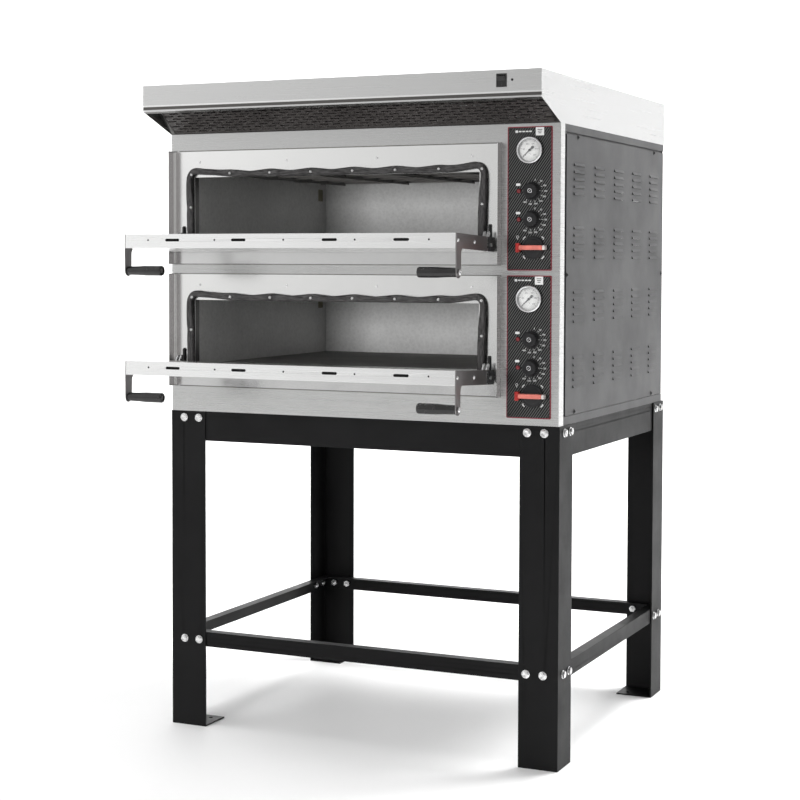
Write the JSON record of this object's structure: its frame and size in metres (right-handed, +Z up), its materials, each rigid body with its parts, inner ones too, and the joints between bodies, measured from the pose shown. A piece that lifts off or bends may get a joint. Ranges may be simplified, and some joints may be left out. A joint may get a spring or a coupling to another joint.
{
  "type": "two-deck pizza oven on a stand",
  "caption": "Electric pizza oven with two drop-down doors, louvred sides, dial controls and an extraction hood, bolted to an open angle-iron stand.",
  "frame": {"origin": "bottom centre of the whole object's box, on the floor, with both doors open", "axes": "+Z up, +Y towards the back, so that the doors face -Y, and +X to the right as seen from the front"},
  "size_m": [1.1284, 1.1858, 1.7535],
  "materials": {
    "stand_black": "satin black powder coat",
    "cover_grey": "dark grey textured powder coat",
    "stainless": "brushed along the sheet",
    "zinc": "bright zinc plate",
    "black_plastic": "satin black thermoset",
    "fired_clay": "matt, fine-grained fired clay",
    "wool": "loose mineral wool",
    "black_steel": "matt black",
    "aluminised": "dull mottled aluminised sheet",
    "element_sheath": "heat-darkened sheath",
    "rope_seal": "dark braided glass-fibre rope",
    "control_film": "black film with fine diagonal stripes and a red border",
    "dial_chrome": "polished bezel",
    "lamp_red": "translucent red",
    "filter_steel": "dark, slightly greasy steel",
    "switch_red": "red",
    "needle_black": "matt black"
  },
  "bodies": {
    "root": {"stand_leg_front_left": "stand_black", "stand_leg_front_right": "stand_black", "stand_leg_rear_left": "stand_black", "stand_leg_rear_right": "stand_black", "stand_top_rails_long": "stand_black", "stand_top_rails_short": "stand_black", "stand_lower_rails_long": "stand_black", "stand_lower_rails_short": "stand_black", "stand_fasteners": "zinc", "base_tray": "cover_grey", "roof_panel": "cover_grey", "rear_panel": "cover_grey", "left_side_panel": "cover_grey", "right_side_panel": "cover_grey", "front_fascia": "stainless", "cable_gland": "black_plastic", "cabinet_screws": "zinc", "baking_stones": "fired_clay", "insulation": "wool", "hinge_brackets": "black_steel", "upper_mouth_frame": "stainless", "lower_mouth_frame": "stainless", "upper_chamber": "aluminised", "lower_chamber": "aluminised", "upper_heaters": "element_sheath", "lower_heaters": "element_sheath", "upper_gasket": "rope_seal", "lower_gasket": "rope_seal", "upper_control_plate": "control_film", "lower_control_plate": "control_film", "upper_thermometer": "dial_chrome", "lower_thermometer": "dial_chrome", "indicator_lamps": "lamp_red", "control_bodies": "black_plastic", "hood_shell": "stainless", "hood_filter": "filter_steel", "hood_switch_housing": "black_plastic"},
    "upper_door": {"upper_door_shell": "stainless", "upper_door_lining": "stainless", "upper_door_hinges": "zinc", "upper_handle_arms": "stainless", "upper_door_screws": "zinc"},
    "upper_left_grip": {"upper_left_grip": "black_plastic"},
    "upper_right_grip": {"upper_right_grip": "black_plastic"},
    "lower_door": {"lower_door_shell": "stainless", "lower_door_lining": "stainless", "lower_door_hinges": "zinc", "lower_handle_arms": "stainless", "lower_door_screws": "zinc"},
    "lower_left_grip": {"lower_left_grip": "black_plastic"},
    "lower_right_grip": {"lower_right_grip": "black_plastic"},
    "upper_top_knob": {"upper_top_knob": "black_plastic"},
    "upper_bottom_knob": {"upper_bottom_knob": "black_plastic"},
    "upper_main_switch": {"upper_main_switch": "switch_red"},
    "upper_thermometer_needle": {"upper_thermometer_needle": "needle_black"},
    "lower_top_knob": {"lower_top_knob": "black_plastic"},
    "lower_bottom_knob": {"lower_bottom_knob": "black_plastic"},
    "lower_main_switch": {"lower_main_switch": "switch_red"},
    "lower_thermometer_needle": {"lower_thermometer_needle": "needle_black"},
    "hood_rocker": {"hood_rocker": "black_plastic"}
  },
  "joints": [
    {"name": "upper_door_hinge", "type": "hinge", "parent": "root", "child": "upper_door", "pos_m": [-0.0735, -0.37028, 1.307], "axis": [-1, 0, 0], "range_deg": [0, 88.1]},
    {"name": "upper_left_grip_spin", "type": "hinge", "parent": "upper_door", "child": "upper_left_grip", "pos_m": [-0.481, -0.57662, 1.2398], "axis": [1, 0, 0], "continuous": true},
    {"name": "upper_right_grip_spin", "type": "hinge", "parent": "upper_door", "child": "upper_right_grip", "pos_m": [0.334, -0.57662, 1.2398], "axis": [1, 0, 0], "continuous": true},
    {"name": "lower_door_hinge", "type": "hinge", "parent": "root", "child": "lower_door", "pos_m": [-0.0735, -0.37028, 0.9785], "axis": [-1, 0, 0], "range_deg": [0, 87.3]},
    {"name": "lower_left_grip_spin", "type": "hinge", "parent": "lower_door", "child": "lower_left_grip", "pos_m": [-0.481, -0.57754, 0.91419], "axis": [1, 0, 0], "continuous": true},
    {"name": "lower_right_grip_spin", "type": "hinge", "parent": "lower_door", "child": "lower_right_grip", "pos_m": [0.334, -0.57754, 0.91419], "axis": [1, 0, 0], "continuous": true},
    {"name": "upper_top_knob_turn", "type": "hinge", "parent": "root", "child": "upper_top_knob", "pos_m": [0.4825, -0.34428, 1.4395], "axis": [0, 1, 0], "range_deg": [0, 290]},
    {"name": "upper_bottom_knob_turn", "type": "hinge", "parent": "root", "child": "upper_bottom_knob", "pos_m": [0.4825, -0.34428, 1.3695], "axis": [0, 1, 0], "range_deg": [0, 290]},
    {"name": "upper_main_switch_turn", "type": "hinge", "parent": "root", "child": "upper_main_switch", "pos_m": [0.4865, -0.34428, 1.3], "axis": [0, 1, 0], "range_deg": [0, 90]},
    {"name": "upper_thermometer_needle_turn", "type": "hinge", "parent": "root", "child": "upper_thermometer_needle", "pos_m": [0.477, -0.34028, 1.5395], "axis": [0, 1, 0], "range_deg": [0, 265]},
    {"name": "lower_top_knob_turn", "type": "hinge", "parent": "root", "child": "lower_top_knob", "pos_m": [0.4825, -0.34428, 1.0735], "axis": [0, 1, 0], "range_deg": [0, 290]},
    {"name": "lower_bottom_knob_turn", "type": "hinge", "parent": "root", "child": "lower_bottom_knob", "pos_m": [0.4825, -0.34428, 1.0035], "axis": [0, 1, 0], "range_deg": [0, 290]},
    {"name": "lower_main_switch_turn", "type": "hinge", "parent": "root", "child": "lower_main_switch", "pos_m": [0.4865, -0.34428, 0.934], "axis": [0, 1, 0], "range_deg": [0, 90]},
    {"name": "lower_thermometer_needle_turn", "type": "hinge", "parent": "root", "child": "lower_thermometer_needle", "pos_m": [0.477, -0.34028, 1.1735], "axis": [0, 1, 0], "range_deg": [0, 265]},
    {"name": "hood_rocker_tilt", "type": "hinge", "parent": "root", "child": "hood_rocker", "pos_m": [0.4535, -0.46828, 1.698], "axis": [-1, 0, 0], "range_deg": [0, 18]}
  ]
}
